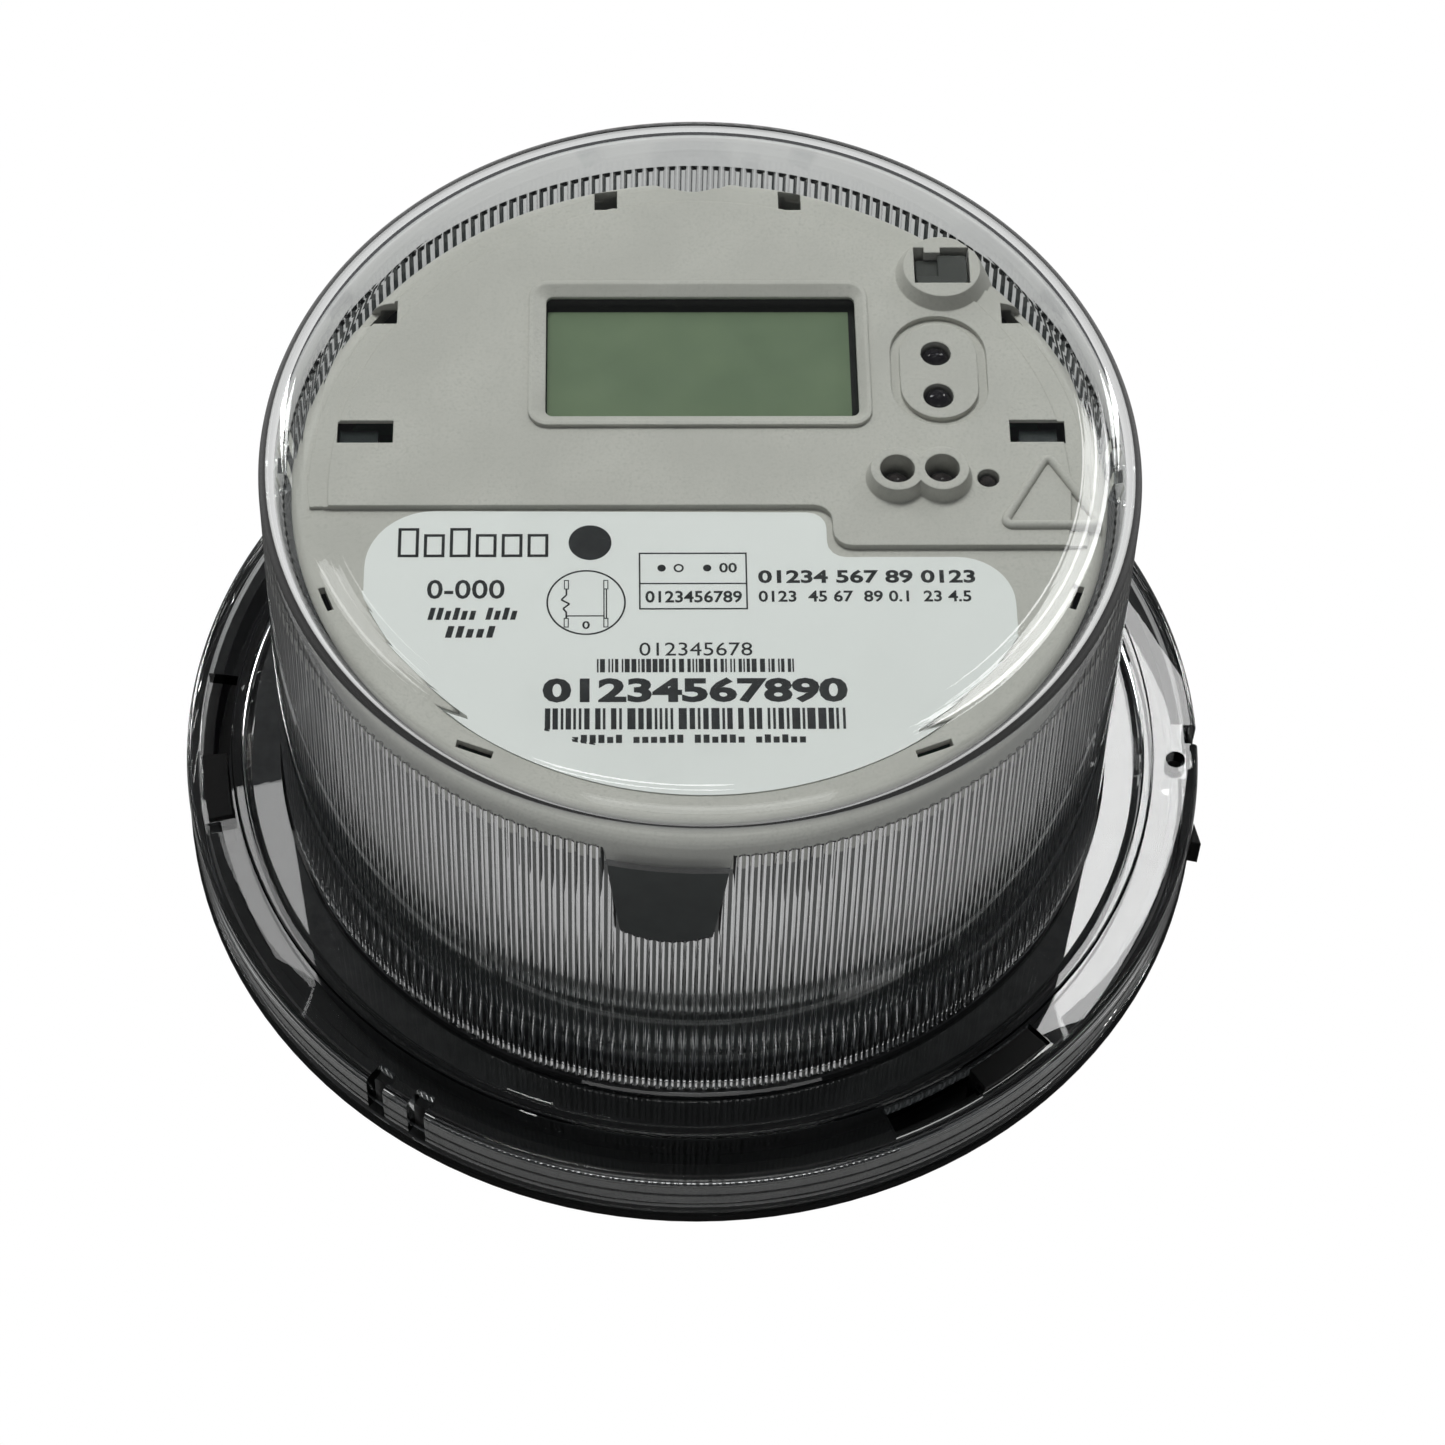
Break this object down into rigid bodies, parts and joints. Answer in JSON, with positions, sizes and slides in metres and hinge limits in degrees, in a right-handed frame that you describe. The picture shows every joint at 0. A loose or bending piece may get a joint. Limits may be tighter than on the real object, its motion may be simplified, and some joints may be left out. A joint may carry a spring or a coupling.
{
  "type": "electric meter",
  "caption": "Round plug-in electricity meter with a twist-off clear cover, moulded face with display, and four blades on its base.",
  "frame": {"origin": "centre of the base's flat rear seat", "axes": "+Z out of the meter's face, along the axis of its round base; +Y towards the display side, which is up when the meter is plugged into a wall socket; +X to the right as one reads the face"},
  "size_m": [0.177, 0.177, 0.1239],
  "materials": {
    "clear_cover": "clear moulded polycarbonate, polished, ribbed wall",
    "base_plastic": "black moulded polyester, fine satin texture",
    "gasket_rubber": "grey foam rubber",
    "tinned_copper": "dull tin plate",
    "steel": "zinc-plated steel",
    "copper": "bare rolled copper",
    "sensor_potting": "blue moulded case with potting",
    "white_plastic": "white moulded plastic",
    "lead_insulation": "white wire insulation",
    "gilt_brass": "gold-flashed brass",
    "housing_plastic": "black moulded plastic, satin",
    "circuit_board": "green solder mask",
    "shield_tin": "tin-plated sheet",
    "chip_plastic": "black epoxy moulding",
    "capacitor_sleeve": "shrunk sleeve",
    "film_capacitor": "yellow cast box",
    "varistor_coating": "blue dipped coating",
    "zebra_rubber": "layered conductive rubber",
    "lcd_glass": "grey-green reflective display, unlit",
    "infrared_lens": "dark moulded epoxy lens",
    "led_lens": "tinted moulded epoxy lens",
    "plunger_plastic": "dark grey moulded plastic",
    "face_plastic": "warm light grey moulded plastic, fine satin texture",
    "nameplate_sheet": "white printed sheet, faint sheen"
  },
  "bodies": {
    "meter": {"base": "base_plastic", "cover_gasket": "gasket_rubber", "line_blade_left": "tinned_copper", "line_blade_right": "tinned_copper", "load_blade_left": "tinned_copper", "load_blade_right": "tinned_copper", "blade_pins": "steel", "current_link_left": "copper", "current_link_right": "copper", "current_sensor_left": "sensor_potting", "current_sensor_right": "sensor_potting", "sensor_cradle": "white_plastic", "sensor_leads": "lead_insulation", "voltage_contacts": "gilt_brass", "housing": "housing_plastic", "housing_screws": "steel", "comms_board": "circuit_board", "radio_shield": "shield_tin", "antenna": "shield_tin", "board_header": "chip_plastic", "main_board": "circuit_board", "board_screws": "steel", "supply_capacitors": "capacitor_sleeve", "filter_capacitor": "film_capacitor", "surge_varistor": "varistor_coating", "processor_chips": "chip_plastic", "lcd_holder": "chip_plastic", "lcd_reflector": "white_plastic", "lcd_contacts": "zebra_rubber", "lcd_glass": "lcd_glass", "optical_detector": "infrared_lens", "optical_emitter": "infrared_lens", "pulse_leds": "led_lens", "status_led": "led_lens", "reset_switch": "chip_plastic", "faceplate": "face_plastic", "nameplate": "nameplate_sheet"},
    "cover": {"clear_cover": "clear_cover", "cover_flange": "clear_cover"},
    "reset": {"reset_plunger": "plunger_plastic"}
  },
  "joints": [
    {"name": "cover_twist", "type": "hinge", "parent": "meter", "child": "cover", "pos_m": [0, 0, 0.0125], "axis": [0, 0, 1], "range_deg": [0, 10.5]},
    {"name": "reset_press", "type": "slide", "parent": "meter", "child": "reset", "axis": [0, 0, -1], "range_m": [0, 0.0012], "stiffness_N_per_m": 400}
  ]
}
